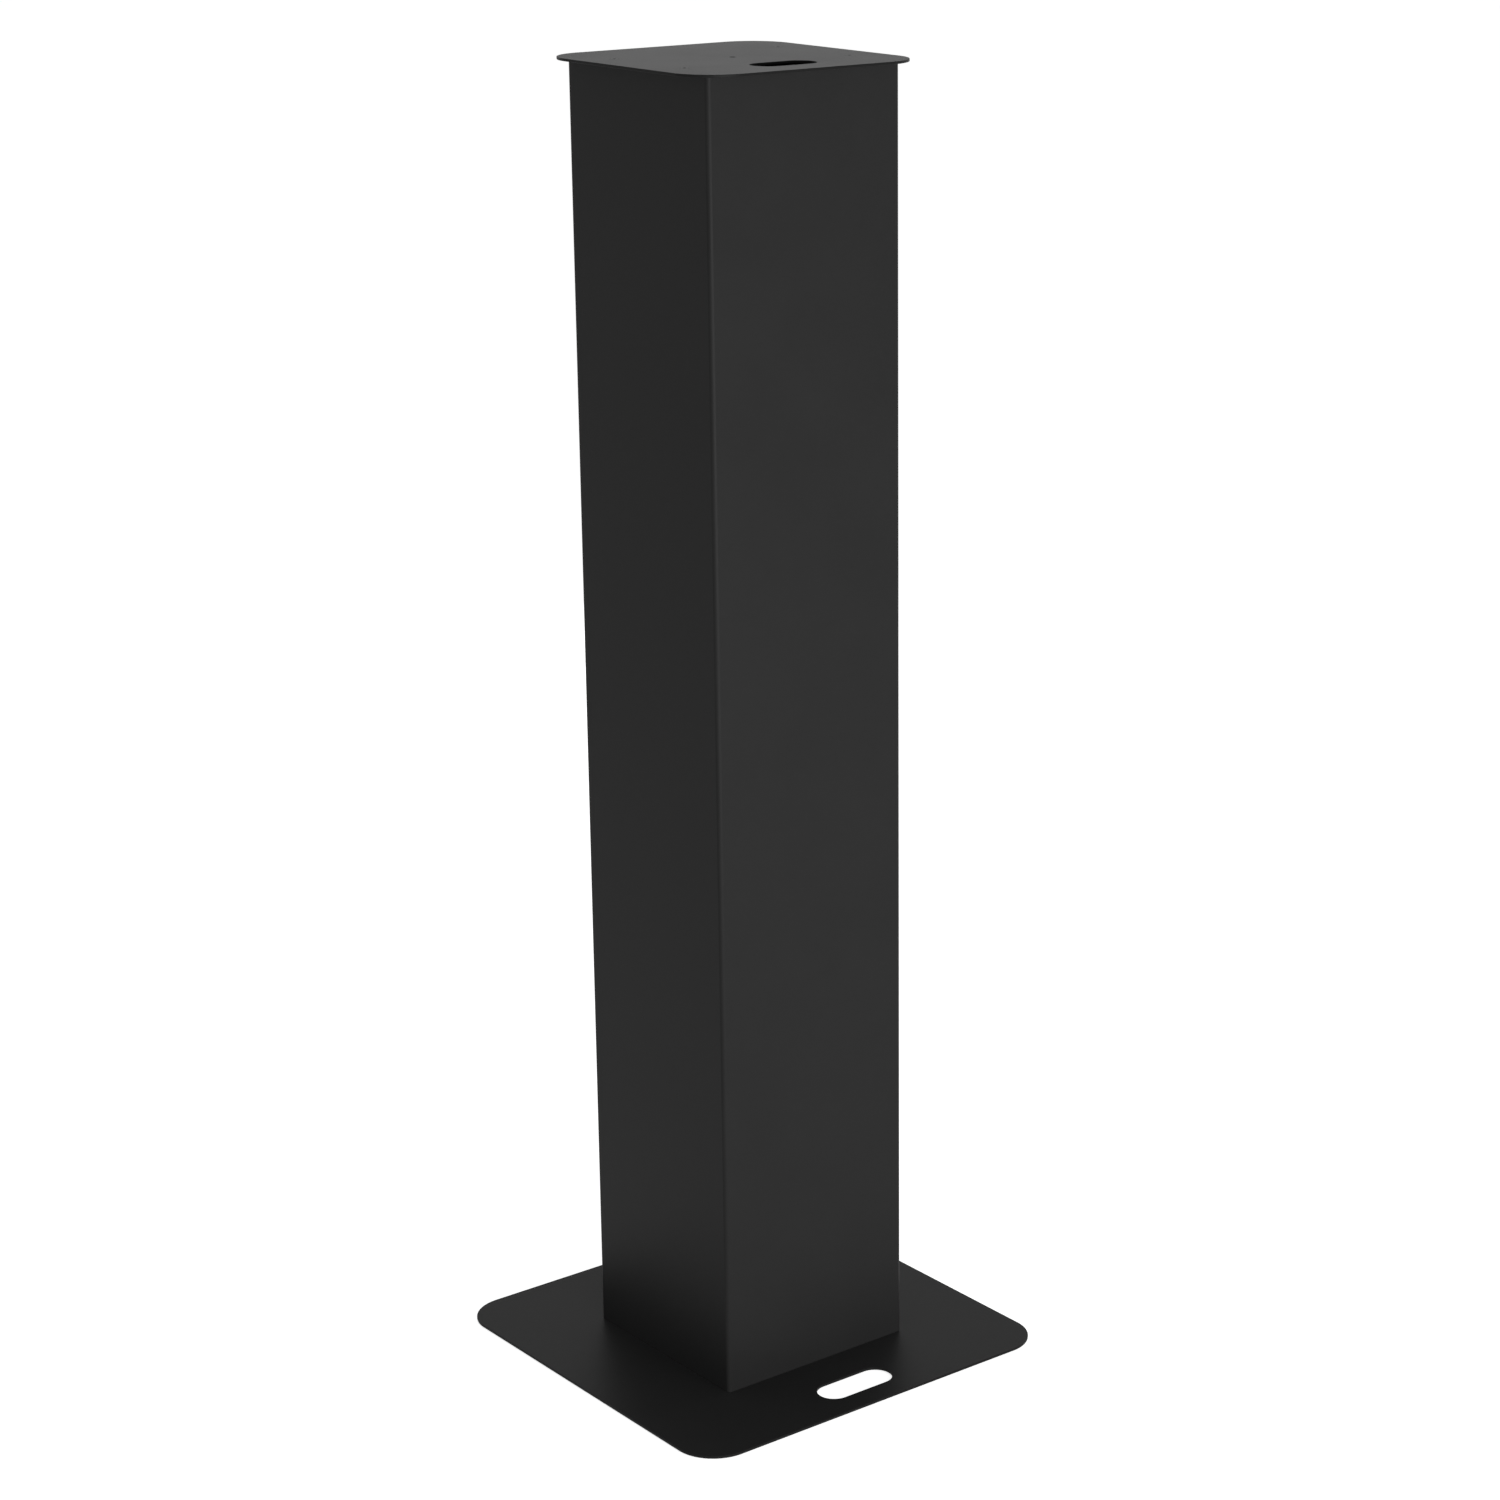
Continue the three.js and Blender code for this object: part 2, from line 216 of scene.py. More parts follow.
def ring_quads(index: Array, closed: bool = False) -> Array:
    """Quads between neighbouring rings of a grid that is closed round each ring.

    Args:
        index: (m, n) vertex numbers, ring by ring.
        closed: whether the last ring also joins the first.

    Returns:
        (k, 4) faces. They face to the right of the rings' direction when the rings follow each other up.
    """
    ahead = np.roll(index, -1, axis=1)
    rings = len(index) if closed else len(index) - 1
    above = np.roll(index, -1, axis=0)
    above_ahead = np.roll(ahead, -1, axis=0)
    return np.stack([index, ahead, above_ahead, above], axis=2)[:rings].reshape(-1, 4)


# ---- Sheet metal ----


@dataclass(frozen=True)
class Loop:
    """Closed edge of a sheet in its flat pattern. It keeps the sheet on its left.

    Args:
        points: (n, 2) places on the edge.
        outward: (n, 2) directions that leave the sheet there.
    """

    points: Array
    outward: Array


def directions(start: float, stop: float, steps: int) -> Array:
    """Unit vectors at evenly spaced angles, both ends included: the cosine and sine of each.

    Args:
        start: first angle.
        stop: last angle.
        steps: spaces between them.

    Returns:
        (steps + 1, 2) vectors.
    """
    angle = np.linspace(start, stop, steps + 1)
    return np.stack([np.cos(angle), np.sin(angle)], axis=1)


def outline(
    low: Sequence[float], high: Sequence[float], radius: float = 0.0, folds: Sequence[float] = ()
) -> Loop:
    """Rectangle of sheet, walked anticlockwise, with round or mitred corners.

    A round corner is its centre plus the radius times a turning direction. A mitred corner is one point
    that leaves the sheet along both sides at once.

    Args:
        low: lowest corner of the rectangle.
        high: highest corner.
        radius: of the corners, 0 for mitred ones.
        folds: first coordinates at which the lower and the upper edge also get a point.

    Returns:
        The loop.
    """
    low, high, folds = np.array(low), np.array(high), np.array(folds)
    points, outward = [], []
    for turn, sign in enumerate(np.array([(-1, -1), (1, -1), (1, 1), (-1, 1)])):
        corner = np.where(sign > 0, high, low)
        angle = math.pi + turn * QUARTER
        ways = directions(angle, angle + QUARTER, CORNER_STEPS) if radius else sign[None].astype(float)
        points.append(corner - radius * sign + radius * ways)
        outward.append(ways)
        if turn % 2 == 0:
            along = folds * sign[1] * -1
            order = np.argsort(along)
            points.append(np.stack([folds[order], np.full(len(folds), corner[1])], axis=1))
            outward.append(np.tile([0.0, float(sign[1])], (len(folds), 1)))
    return Loop(np.concatenate(points), np.concatenate(outward))


def round_ended_slot(centre: Sequence[float], length: float, width: float) -> Loop:
    """Slot along the first axis, walked clockwise: half a circle round each of its two centres.

    Args:
        centre: middle of the slot.
        length: over its round ends.
        width: across them.

    Returns:
        The loop.
    """
    half = HOLE_STEPS // 2
    ways = [directions(QUARTER, -QUARTER, half), directions(-QUARTER, -3 * QUARTER, half)]
    reach = (length - width) / 2
    ends = [np.array(centre) + [side * reach, 0] + width / 2 * way for side, way in zip((1, -1), ways)]
    return Loop(np.concatenate(ends), -np.concatenate(ways))


def round_hole(centre: Sequence[float], diameter: float) -> Loop:
    """Round hole, walked clockwise: its centre plus the radius times a turning direction.

    Args:
        centre: middle of the hole.
        diameter: of the hole.

    Returns:
        The loop.
    """
    ways = directions(0, -FULL_TURN, HOLE_STEPS)[:-1]
    return Loop(np.array(centre) + diameter / 2 * ways, -ways)


def rounded_edge(sheet: float, radius: float) -> Array:
    """Section across a sheet's edge: a quarter round at each face and a straight wall between them.

    Args:
        sheet: thickness.
        radius: of the two quarter rounds.

    Returns:
        (m, 2) pairs of how far in from the edge and how far up through the sheet.
    """
    angle = np.linspace(0, QUARTER, EDGE_STEPS + 1)
    lower = radius * np.stack([1 - np.sin(angle), 1 - np.cos(angle)], axis=1)
    return np.concatenate([lower, (lower * [1, -1] + [0, sheet])[::-1]])


def countersunk_edge(sheet: float, radius: float, sink: float) -> Array:
    """Section across a hole's edge whose upper part is a cone of 45 degrees.

    The cone ends in an arc that is tangent to it and to the upper face. The arc's tangents meet at the
    cone's nominal edge.

    Args:
        sheet: thickness.
        radius: of the lower quarter round and of the arc.
        sink: how much wider the cone is than the hole, on each side.

    Returns:
        (m, 2) pairs, as for a rounded edge.
    """
    lower = rounded_edge(sheet, radius)[: EDGE_STEPS + 1]
    tangent = radius * math.tan(QUARTER / 4)
    angle = np.linspace(QUARTER / 2, 0, EDGE_STEPS + 1)
    arc = radius * np.stack([-np.sin(angle), np.cos(angle)], axis=1) + [sink + tangent, sheet - radius]
    return np.concatenate([lower, [[0, sheet - sink]], arc])


@dataclass(frozen=True)
class Cut:
    """An edge of the sheet: where it runs and its section.

    Args:
        loop: the edge in the flat pattern.
        section: (m, 2) pairs of how far in and how far up, from the lower face to the upper.
    """

    loop: Loop
    section: Array

    def rings(self) -> Array:
        """The loop, moved in and up by each pair of the section: (m, n, 3) places in the flat pattern."""
        flat = self.loop.points - self.section[:, :1, None] * self.loop.outward
        height = np.broadcast_to(self.section[:, 1:, None], (*flat.shape[:2], 1))
        return np.concatenate([flat, height], axis=2)


@dataclass(frozen=True)
class FoldedSection:
    """Section of a folded sheet. Its outer face runs along corners, and its inner face lies to the right.

    Args:
        corners: (x, y, inside radius of the bend) along the outer face. The ends' radius is unused.
        sheet: thickness.
    """

    corners: tuple[Place, ...]
    sheet: float

    def stations(self) -> tuple[Array, Array, Array]:
        """Points along the outer face, with both ends of each bend among them.

        In a bend the direction turns evenly, and the point is the bend's centre plus or minus the outer
        face's radius times the direction to the right. A bend to the right has the inner face inside, so
        the outer face's radius is larger by the sheet.

        Returns:
            The distance along the face, (k,), the points, (k, 2), and the directions to the right, (k, 2).
        """
        corner = np.array(self.corners)
        point = corner[:, :2]
        course = np.diff(point, axis=0)
        course /= np.linalg.norm(course, axis=1, keepdims=True)
        right = np.stack([course[:, 1], -course[:, 0]], axis=1)
        distances, places, rights = [np.zeros(1)], [point[:1]], [right[:1]]
        for i in range(1, len(corner) - 1):
            into, out = course[i - 1], course[i]
            turn = math.atan2(into[0] * out[1] - into[1] * out[0], into @ out)
            side = -math.copysign(1, turn)
            radius = corner[i, 2] + (self.sheet if side > 0 else 0)
            start = point[i] - into * radius * math.tan(abs(turn) / 2)
            heading = math.atan2(right[i - 1][1], right[i - 1][0])
            ways = directions(heading, heading + turn, BEND_STEPS)
            straight = distances[-1][-1] + np.linalg.norm(start - places[-1][-1])
            distances.append(straight + np.linspace(0, radius * abs(turn), BEND_STEPS + 1))
            places.append(start + side * radius * (ways[0] - ways))
            rights.append(ways)
        distances.append(distances[-1][-1:] + np.linalg.norm(point[-1] - places[-1][-1]))
        places.append(point[-1:])
        rights.append(right[-1:])
        return np.concatenate(distances), np.concatenate(places), np.concatenate(rights)

    def carry(self, flat: Array) -> Array:
        """Folds the flat pattern: the outer face's point at a distance, plus the height along its right.

        Args:
            flat: (..., 3) of distance along the section, run across it, and height through the sheet.

        Returns:
            (..., 3) of the section's two coordinates and the run.
        """
        distance, place, right = self.stations()
        columns = [
            np.interp(flat[..., 0], distance, place[:, axis])
            + flat[..., 2] * np.interp(flat[..., 0], distance, right[:, axis])
            for axis in (0, 1)
        ]
        return np.stack([*columns, flat[..., 1]], axis=-1)


@dataclass(frozen=True)
class Sheet:
    """A cut sheet as a closed surface, flat or folded.

    Args:
        outer: its outer edge.
        holes: its holes' edges. Every hole is convex.
        folds: how many points the outer edge has for folds on its lower side, and again on its upper.
    """

    outer: Cut
    holes: tuple[Cut, ...] = ()
    folds: int = 0

    def face(self, rings: Sequence[Array]) -> Array:
        """Triangles of the flat region inside the first ring and outside the others.

        The rings and the fold lines are fixed edges of a Delaunay triangulation. A triangle whose three
        corners lie on one hole's ring fills that hole, because the hole is convex, and is left out.

        Args:
            rings: (n, 2) closed rings, the outer edge's first.

        Returns:
            (k, 3) numbers of points, counted through all rings, anticlockwise.
        """
        sizes = [len(ring) for ring in rings]
        starts = np.cumsum([0, *sizes])[:-1]
        owner = np.repeat(np.arange(len(rings)), sizes)
        edges = [np.stack([np.arange(size), np.roll(np.arange(size), -1)], axis=1) + start
                 for size, start in zip(sizes, starts)]
        if self.folds:
            # The outer edge has a corner, the lower folds, two corners, the upper folds and a corner.
            lower = np.arange(self.folds) + 1
            upper = lower[::-1] + self.folds + 2
            edges.append(np.stack([lower, upper], axis=1))
        points = [Vector(point) for point in np.concatenate(rings) * PATTERN_UNITS]
        _, _, triangles, origins, _, _ = delaunay_2d_cdt(
            points, np.concatenate(edges).tolist(), [], 1, PATTERN_TOLERANCE
        )
        triangles = np.array([origin[0] for origin in origins])[np.array(triangles)]
        owners = owner[triangles]
        fills_hole = (owners[:, 0] > 0) & (owners == owners[:, :1]).all(axis=1)
        return triangles[~fills_hole]

    def surface(self, *carriers: Axes | FoldedSection) -> Surface:
        """The sheet's two faces and its edges, folded and put in place.

        Args:
            carriers: what carries the flat pattern to the frame, in order.

        Returns:
            The closed surface.
        """
        grids, faces, count = [], [], 0
        lower_ids, upper_ids = [], []
        cuts = (self.outer, *self.holes)
        for cut in cuts:
            rings = cut.rings()
            index = np.arange(rings[..., 0].size).reshape(rings.shape[:2]) + count
            faces.append(ring_quads(index))
            lower_ids.append(index[0])
            upper_ids.append(index[-1])
            grids.append(rings)
            count += index.size
        lower = self.face([rings[0, :, :2] for rings in grids])
        upper = self.face([rings[-1, :, :2] for rings in grids])
        faces.append(np.concatenate(lower_ids)[lower[:, ::-1]])
        faces.append(np.concatenate(upper_ids)[upper])
        rim = [np.pad(np.ones(len(rings) - 2), 1).repeat(rings.shape[1]) for rings in grids]
        places = np.concatenate([rings.reshape(-1, 3) for rings in grids])
        for carrier in carriers:
            places = carrier.carry(places)
        return Surface(places, tuple(faces), np.concatenate(rim))


def folded_sheet(section: FoldedSection, run: Sequence[float], edge: Array, holes: Sequence[Loop]) -> Sheet:
    """Rectangular flat pattern of a sheet that is folded along its whole run.

    Args:
        section: the folded section.
        run: lowest and highest place along the folds.
        edge: section across the outer edge and each hole's edge.
        holes: the holes' edges in the pattern.

    Returns:
        The sheet.
    """
    distance = section.stations()[0].tolist()
    folds = distance[1:-1]
    border = outline((0, run[0]), (distance[-1], run[1]), folds=folds)
    return Sheet(Cut(border, edge), tuple(Cut(hole, edge) for hole in holes), len(folds))


# ---- Turned pieces ----


ANGLES = np.linspace(0, FULL_TURN, TURN_STEPS, endpoint=False)


def around(reach: Array, rise: Array) -> Array:
    """Rings about the third axis: each radius times the cosine and sine of its angle, and each height.

    Args:
        reach: (m, n) radii, ring by ring.
        rise: (m, n) or (m, 1) heights.

    Returns:
        (m, n, 3) places.
    """
    return np.stack([reach * np.cos(ANGLES), reach * np.sin(ANGLES), rise + 0 * reach], axis=2)


def turned(profile: Sequence[Place], axes: Axes) -> Surface:
    """Solid of revolution whose rings may have six lobes.

    Ring by ring, the radius at an angle is the profile's radius plus its swing times the cosine of the
    number of lobes times the angle. The first and the last entry lie on the axis and close the ends with
    fans.

    Args:
        profile: (radius, height, swing), from the lower end round the outside to the upper end.
        axes: where the piece stands; its heights run along the third.

    Returns:
        The closed surface.
    """
    radius, height, swing = np.array(profile).T[:, :, None]
    reach = (radius + swing * np.cos(LOBES * ANGLES))[1:-1]
    rings = around(reach, height[1:-1])
    ends = np.array([[0, 0, height[0, 0]], [0, 0, height[-1, 0]]])
    index = np.arange(reach.size).reshape(reach.shape)
    first, last = reach.size, reach.size + 1
    low_fan = np.stack([np.roll(index[0], -1), index[0], np.full(TURN_STEPS, first)], axis=1)
    high_fan = np.stack([index[-1], np.roll(index[-1], -1), np.full(TURN_STEPS, last)], axis=1)
    places = np.concatenate([rings.reshape(-1, 3), ends])
    return Surface(axes.carry(places), (ring_quads(index), low_fan, high_fan), np.zeros(len(places)))


def hexagon_nut(width: float, height: float, bore: float, axes: Axes) -> Surface:
    """Hexagon nut below its seat, with a bore and with the corners of its free face turned off.

    The hexagon's radius is half its width over the cosine of the angle from the nearest flat's middle.
    The turned cone cuts each point of the hexagon lower by the cone's slope times how far it stands out.

    Args:
        width: across flats.
        height: along the axis.
        bore: diameter of the hole.
        axes: the seat's middle; the nut hangs down along the third.

    Returns:
        The closed surface.
    """
    flat, hole, mouth = width / 2, bore / 2, bore / 2 + NUT_CHAMFER
    hexagon = flat / np.cos(np.mod(ANGLES, math.pi / 3) - math.pi / 6)
    cone_start = NUT_CHAMFER * NUT_CONE_SLOPE - height
    cone_end = cone_start + (hexagon - flat) * NUT_CONE_SLOPE
    profile = [
        (hole, NUT_CHAMFER - height), (mouth, -height), (flat - NUT_CHAMFER, -height), (flat, cone_start),
        (hexagon, cone_end), (hexagon, -NUT_CHAMFER / 2), (hexagon - NUT_CHAMFER / 2, 0), (mouth, 0),
        (hole, -NUT_CHAMFER),
    ]
    reach = np.array([radius + 0 * ANGLES for radius, _ in profile])
    rise = np.array([level + 0 * ANGLES for _, level in profile])
    index = np.arange(reach.size).reshape(reach.shape)
    places = axes.carry(around(reach, rise).reshape(-1, 3))
    return Surface(places, (ring_quads(index, closed=True),), np.zeros(len(places)))


# ---- Shader graphs ----


class Signal:
    """An output socket whose arithmetic adds Math nodes to its graph."""

    def __init__(self, graph: "Graph", socket: bpy.types.NodeSocket) -> None:
        """Keeps the graph and the socket."""
        self.graph = graph
        self.socket = socket

    def _math(self, operation: str, left: Any, right: Any) -> "Signal":
        """A Math node of two operands."""
        operands = {"Value": left, "Value_001": right}
        node = self.graph.node("ShaderNodeMath", {"operation": operation}, operands)
        return self.graph.output(node, "Value")

    def __add__(self, other: Any) -> "Signal":
        """self + other."""
        return self._math("ADD", self, other)

    def __radd__(self, other: Any) -> "Signal":
        """other + self."""
        return self._math("ADD", other, self)

    def __sub__(self, other: Any) -> "Signal":
        """self - other."""
        return self._math("SUBTRACT", self, other)

    def __rsub__(self, other: Any) -> "Signal":
        """other - self."""
        return self._math("SUBTRACT", other, self)

    def __mul__(self, other: Any) -> "Signal":
        """self * other."""
        return self._math("MULTIPLY", self, other)

    def __rmul__(self, other: Any) -> "Signal":
        """other * self."""
        return self._math("MULTIPLY", other, self)

    def at_most(self, limit: float) -> "Signal":
        """The smaller of self and a limit."""
        return self._math("MINIMUM", self, limit)


class Graph:
    """Node tree of a material or of the world."""

    def __init__(self, owner: bpy.types.Material | bpy.types.World) -> None:
        """Empties the owner's node tree.

        Args:
            owner: material or world.
        """
        owner.use_nodes = True
        self.tree = owner.node_tree
        self.tree.nodes.clear()

    def node(self, kind: str, settings: Mapping[str, Any], inputs: Mapping[str, Any]) -> bpy.types.Node:
        """Adds a node.

        Args:
            kind: the node's type.
            settings: its own properties, which are set first.
            inputs: values or signals of its sockets, by the sockets' identifiers.

        Returns:
            The node.
        """
        node = self.tree.nodes.new(kind)
        for name, value in settings.items():
            setattr(node, name, value)
        sockets = {socket.identifier: socket for socket in node.inputs}
        for name, value in inputs.items():
            if isinstance(value, Signal):
                self.tree.links.new(value.socket, sockets[name])
            else:
                sockets[name].default_value = value
        return node

    def output(self, node: bpy.types.Node, name: str) -> Signal:
        """A node's output socket as a signal."""
        return Signal(self, node.outputs[name])

    def noise(self, place: Signal, size: float, detail: float) -> Signal:
        """Cloudy values about the noise's mean over a surface.

        Args:
            place: where it is read.
            size: breadth of one cloud in metres.
            detail: how many finer octaves are added.

        Returns:
            The values.
        """
        inputs = {"Vector": place, "Scale": 1 / size, "Detail": detail}
        return self.output(self.node("ShaderNodeTexNoise", {}, inputs), "Fac")

    def grey(self, level: Signal) -> Signal:
        """A grey colour whose three channels are the signal: black mixed with white by it."""
        inputs = {"Factor_Float": level, "A_Color": (0, 0, 0, 1), "B_Color": (1, 1, 1, 1)}
        mix = self.node("ShaderNodeMix", {"data_type": "RGBA"}, inputs)
        return Signal(self, next(socket for socket in mix.outputs if socket.identifier == "Result_Color"))


@dataclass(frozen=True)
class Finish:
    """A surface finish. Its colour, gloss and relief change a little over the surface, as a real one's do.

    Args:
        name: the material's name.
        slot: the record's material slot; not used.
        level: mean linear grey of the surface.
        patchiness: share by which the grey drifts over a hand's breadth.
        roughness: mean roughness.
        roughness_drift: how far the roughness drifts.
        specular: the shader's specular level.
        grain: breadth of the fine relief, in metres.
        grain_depth: height of that relief.
        ripple: breadth of the soft relief under it.
        ripple_depth: height of that relief.
        rim_painted_shade: share by which a rounded edge is painted darker, painted shade that stands in for
            the shade on the sheets' cut edges.
        rim_polish: how much smoother a rounded edge is, where hands and cloths rub it.
        cloud: breadth of the slow drift in grey and gloss.
    """

    name: str
    slot: str
    level: float
    patchiness: float
    roughness: float
    roughness_drift: float
    specular: float
    grain: float
    grain_depth: float
    ripple: float
    ripple_depth: float
    rim_painted_shade: float = 0.0
    rim_polish: float = 0.0
    cloud: float = 0.09

    def material(self) -> bpy.types.Material:
        """The finish as a material, made once.

        Returns:
            The material.
        """
        found = bpy.data.materials.get(self.name)
        if found:
            return found
        material = bpy.data.materials.new(self.name)
        graph = Graph(material)
        place = graph.output(graph.node("ShaderNodeTexCoord", {}, {}), "Object")
        rim = graph.output(graph.node("ShaderNodeAttribute", {"attribute_name": "rim"}, {}), "Fac")
        cloud = graph.noise(place, self.cloud, CLOUD_DETAIL) - NOISE_MEAN
        grain = graph.noise(place, self.grain, GRAIN_DETAIL)
        ripple = graph.noise(place, self.ripple, RIPPLE_DETAIL)
        speck = grain - NOISE_MEAN
        # The grey drifts at random, and the rim term paints shade onto rounded edges by darkening them.
        level = self.level * (1 + 2 * self.patchiness * (cloud + speck) - self.rim_painted_shade * rim)
        drift = 2 * self.roughness_drift * (cloud + 0.5 * speck)
        roughness = self.roughness + drift - self.rim_polish * rim
        relief = grain * self.grain_depth + ripple * self.ripple_depth
        bump = graph.node("ShaderNodeBump", {}, {"Height": relief, "Distance": 1.0, "Strength": 1.0})
        shader = graph.node("ShaderNodeBsdfPrincipled", {}, {
            "Base Color": graph.grey(level),
            "Roughness": roughness,
            "Specular IOR Level": self.specular,
            "Normal": graph.output(bump, "Normal"),
        })
        graph.node("ShaderNodeOutputMaterial", {}, {"Surface": graph.output(shader, "BSDF")})
        return material


# The powder coat's rounded cut edges are painted 40 percent darker, as painted shade.
POWDER_COAT = Finish(
    name="satin_powder_coat", slot="powder_coat", level=0.0145, patchiness=0.10,
    roughness=0.45, roughness_drift=0.03, specular=0.055,
    grain=0.00035, grain_depth=3e-5, ripple=0.0022, ripple_depth=6e-5, rim_painted_shade=0.40, rim_polish=0.02,
)
SCREW_COAT = Finish(
    name="screw_coat", slot="black_fastener", level=0.012, patchiness=0.15,
    roughness=0.40, roughness_drift=0.05, specular=0.07,
    grain=0.00015, grain_depth=6e-6, ripple=0.0012, ripple_depth=1.5e-5,
)
RUBBER = Finish(
    name="foot_rubber", slot="rubber", level=0.014, patchiness=0.12,
    roughness=0.75, roughness_drift=0.05, specular=0.10,
    grain=0.0003, grain_depth=3e-5, ripple=0.003, ripple_depth=4e-5,
)


# ---- The stand's sub-assemblies ----


def corner_places(reach_x: float, reach_y: float) -> dict[str, tuple[float, float]]:
    """The four corners of a rectangle about the origin, by the names that the frame's nodes carry.

    Args:
        reach_x: half its width.
        reach_y: half its depth.

    Returns:
        Name to (x, y).
    """
    return {
        "front_left": (-reach_x, -reach_y),
        "front_right": (reach_x, -reach_y),
        "rear_left": (-reach_x, reach_y),
        "rear_right": (reach_x, reach_y),
    }


@dataclass
class SubAssembly:
    """Pieces that are made together. Each stands for the CAD node that it is named after."""

    pieces: list[tuple[bpy.types.Object, Finish]] = field(default_factory=list, init=False)

    def add(self, node: str, surface: Surface, finish: Finish) -> None:
        """Makes a piece that replaces a CAD node.

        Args:
            node: the node's name.
            surface: the piece's shape.
            finish: what it is coated with.
        """
        name = f"{node}_look"
        piece = new_object(name, surface.to_mesh(name))
        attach(piece, BODY)
        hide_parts(node)
        self.pieces.append((piece, finish))

    def add_nut(self, node: str, facing: Facing, width: float, bore: float) -> None:
        """Makes a weld nut.

        Args:
            node: the nut's node, which gives its place and height.
            facing: where the sheet lies that it is welded to.
            width: across flats.
            bore: diameter of its hole.
        """
        axes, height = facing.seat(node)
        self.add(node, hexagon_nut(width, height, bore, axes), POWDER_COAT)

    def build(self) -> None:
        """Makes the pieces."""
        raise NotImplementedError

    def dress(self) -> None:
        """Gives each piece its finish and reports it."""
        for piece, finish in self.pieces:
            piece.data.materials.append(finish.material())
            log.info("%s: %d faces, %s", piece.name, len(piece.data.polygons), finish.name)


@dataclass
class Plate(SubAssembly):
    """Plate with round corners, a slot, and four countersunk holes for the screws into the brackets."""

    corner: float = 0.050
    slot_length: float = 0.080
    slot_width: float = 0.040
    edge: float = 0.0005  # rounding of the cut edges under the coat
    hole: float = 0.0055
    sink: float = 0.002424  # how much wider each countersink is than its hole, per side
    screw_reach: tuple[float, float] = (0.110, 0.064)

    def add_plate(self, node: str, slot_y: float, from_above: bool, holes: Sequence[Cut] = ()) -> None:
        """Makes the plate.

        Args:
            node: the plate's node, which gives its box.
            slot_y: where the slot's middle lies.
            from_above: whether the screws go in from above.
            holes: further holes.
        """
        low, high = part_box(node)
        sheet = high.z - low.z
        edge = rounded_edge(sheet, self.edge)
        sunk = countersunk_edge(sheet, self.edge, self.sink)
        if not from_above:
            sunk = (sunk * [1, -1] + [0, sheet])[::-1]
        slot = Cut(round_ended_slot((0, slot_y), self.slot_length, self.slot_width), edge)
        places = corner_places(*self.screw_reach).values()
        screw_holes = [Cut(round_hole(place, self.hole), sunk) for place in places]
        border = Cut(outline(low.xy, high.xy, self.corner), edge)
        plate = Sheet(border, (slot, *screw_holes, *holes))
        self.add(node, plate.surface(Axes((0, 0, low.z))), POWDER_COAT)


@dataclass
class BasePlate(Plate):
    """Wide plate with its hand slot, on its pads."""

    slot_length: float = 0.100
    slot_margin: float = 0.030  # plate edge to the slot
    pad_edge: float = 0.0005
    pad_groove: float = 0.0003  # depth of the rings moulded into each pad's underside
    pad_groove_places: tuple[float, ...] = (0.3, 0.5, 0.7)  # shares of the pad's radius
    pad_groove_width: float = 0.06  # share of the pad's radius

    def build(self) -> None:
        """Makes the plate and the eight pads."""
        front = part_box("base_plate")[0].y
        self.add_plate("base_plate", front + self.slot_margin + self.slot_width / 2, from_above=False)
        for ring in ("outer", "inner"):
            for corner in corner_places(1, 1):
                self.add_pad(f"foot_pad_{ring}_{corner}")

    def add_pad(self, node: str) -> None:
        """Makes a round pad with rings moulded into its underside.

        Args:
            node: the pad's node, which gives its place and size.
        """
        low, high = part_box(node)
        radius, top = (high.x - low.x) / 2, high.z - low.z
        # A groove's section: where it runs, in shares of its width, and how deep it is there.
        groove = [(-0.5, 0), (-0.25, self.pad_groove), (0.25, self.pad_groove), (0.5, 0)]
        grooves = [
            (radius * (place + across * self.pad_groove_width), height, 0)
            for place in self.pad_groove_places
            for across, height in groove
        ]
        turn = directions(-QUARTER, 0, EDGE_STEPS) * self.pad_edge + [radius - self.pad_edge, self.pad_edge]
        rounding = [(reach, height, 0) for reach, height in turn]
        bevel = self.pad_edge / 4
        upper = [(radius, top - bevel, 0), (radius - bevel, top, 0), (0, top, 0)]
        middle = (low + high) / 2
        profile = [(0, 0, 0), *grooves, *rounding, *upper]
        self.add(node, turned(profile, Axes((middle.x, middle.y, low.z))), RUBBER)


@dataclass
class TopPlate(Plate):
    """Plate that carries the speaker, with its cable slot, its centre hole and the nut under it."""

    slot_y: float = -0.090
    centre_hole: float = 0.0065
    nut_width: float = 0.011
    nut_bore: float = 0.0066

    def build(self) -> None:
        """Makes the plate and the nut."""
        low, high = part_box("top_plate")
        centre = Cut(round_hole((0, 0), self.centre_hole), rounded_edge(high.z - low.z, self.edge))
        self.add_plate("top_plate", self.slot_y, from_above=True, holes=[centre])
        self.add_nut("speaker_nut", Facing.UP, self.nut_width, self.nut_bore)


